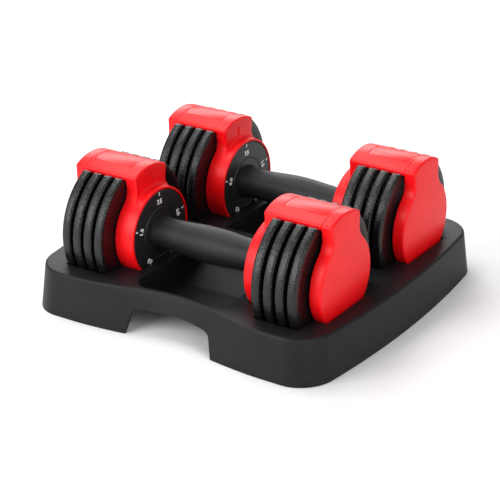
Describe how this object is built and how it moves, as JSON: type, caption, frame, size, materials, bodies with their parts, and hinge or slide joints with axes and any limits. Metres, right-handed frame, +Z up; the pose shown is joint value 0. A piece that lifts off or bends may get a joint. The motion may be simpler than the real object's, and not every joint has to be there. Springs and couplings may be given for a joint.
{
  "type": "adjustable dumbbell pair",
  "caption": "Pair of twist-handle adjustable dumbbells with red heads and black plates, resting in one moulded storage tray.",
  "frame": {"origin": "centre of the tray's footprint, on the surface that it stands on", "axes": "+Z up; the dumbbells' axes run along X; -Y is the side with the hand notch nearest the front dumbbell"},
  "size_m": [0.3412, 0.3208, 0.138],
  "materials": {
    "tray_plastic": "fine textured moulded plastic",
    "red_housing": "satin-gloss moulded plastic",
    "red_panel": "satin moulded plastic",
    "plate_coat": "textured powder coat on steel",
    "dial_plastic": "satin moulded plastic",
    "grip_rubber": "matte moulded rubber",
    "steel": "turned and ground",
    "acetal": "moulded bearing plastic"
  },
  "bodies": {
    "base": {"tray": "tray_plastic"},
    "front_dumbbell": {"front_left_inner_housing": "red_housing", "front_left_outer_cap": "red_housing", "front_left_top_panel": "red_panel", "front_left_rod_bush": "acetal", "front_left_plate_1": "plate_coat", "front_left_plate_2": "plate_coat", "front_left_plate_3": "plate_coat", "front_left_plate_4": "plate_coat", "front_right_inner_housing": "red_housing", "front_right_outer_cap": "red_housing", "front_right_top_panel": "red_panel", "front_right_rod_bush": "acetal", "front_right_plate_1": "plate_coat", "front_right_plate_2": "plate_coat", "front_right_plate_3": "plate_coat", "front_right_plate_4": "plate_coat"},
    "front_handle": {"front_grip_sleeve": "grip_rubber", "front_handle_tube": "steel", "front_cam_sleeve": "acetal", "front_left_dial": "dial_plastic", "front_right_dial": "dial_plastic"},
    "front_left_rod": {"front_left_selector_rod": "steel", "front_left_follower_pin": "steel"},
    "front_right_rod": {"front_right_selector_rod": "steel", "front_right_follower_pin": "steel"},
    "rear_dumbbell": {"rear_left_inner_housing": "red_housing", "rear_left_outer_cap": "red_housing", "rear_left_top_panel": "red_panel", "rear_left_rod_bush": "acetal", "rear_left_plate_1": "plate_coat", "rear_left_plate_2": "plate_coat", "rear_left_plate_3": "plate_coat", "rear_left_plate_4": "plate_coat", "rear_right_inner_housing": "red_housing", "rear_right_outer_cap": "red_housing", "rear_right_top_panel": "red_panel", "rear_right_rod_bush": "acetal", "rear_right_plate_1": "plate_coat", "rear_right_plate_2": "plate_coat", "rear_right_plate_3": "plate_coat", "rear_right_plate_4": "plate_coat"},
    "rear_handle": {"rear_grip_sleeve": "grip_rubber", "rear_handle_tube": "steel", "rear_cam_sleeve": "acetal", "rear_left_dial": "dial_plastic", "rear_right_dial": "dial_plastic"},
    "rear_left_rod": {"rear_left_selector_rod": "steel", "rear_left_follower_pin": "steel"},
    "rear_right_rod": {"rear_right_selector_rod": "steel", "rear_right_follower_pin": "steel"}
  },
  "joints": [
    {"name": "front_lift", "type": "slide", "parent": "base", "child": "front_dumbbell", "axis": [0, 0, 1], "range_m": [0, 0.12]},
    {"name": "front_twist", "type": "hinge", "parent": "front_dumbbell", "child": "front_handle", "pos_m": [0, -0.075, 0.0713], "axis": [1, 0, 0], "range_deg": [0, 288]},
    {"name": "front_left_rod_slide", "type": "slide", "parent": "front_dumbbell", "child": "front_left_rod", "axis": [1, 0, 0], "range_m": [0, 0.0505]},
    {"name": "front_right_rod_slide", "type": "slide", "parent": "front_dumbbell", "child": "front_right_rod", "axis": [-1, 0, 0], "range_m": [0, 0.0505]},
    {"name": "rear_lift", "type": "slide", "parent": "base", "child": "rear_dumbbell", "axis": [0, 0, 1], "range_m": [0, 0.12]},
    {"name": "rear_twist", "type": "hinge", "parent": "rear_dumbbell", "child": "rear_handle", "pos_m": [0, 0.075, 0.0713], "axis": [-1, 0, 0], "range_deg": [0, 288]},
    {"name": "rear_left_rod_slide", "type": "slide", "parent": "rear_dumbbell", "child": "rear_left_rod", "axis": [1, 0, 0], "range_m": [0, 0.0505]},
    {"name": "rear_right_rod_slide", "type": "slide", "parent": "rear_dumbbell", "child": "rear_right_rod", "axis": [-1, 0, 0], "range_m": [0, 0.0505]}
  ],
  "couplings": [
    {"joint": "front_left_rod_slide", "follows": "front_twist", "m_per_rad": 0.010027},
    {"joint": "front_right_rod_slide", "follows": "front_twist", "m_per_rad": 0.010027},
    {"joint": "rear_left_rod_slide", "follows": "rear_twist", "m_per_rad": 0.010027},
    {"joint": "rear_right_rod_slide", "follows": "rear_twist", "m_per_rad": 0.010027}
  ]
}
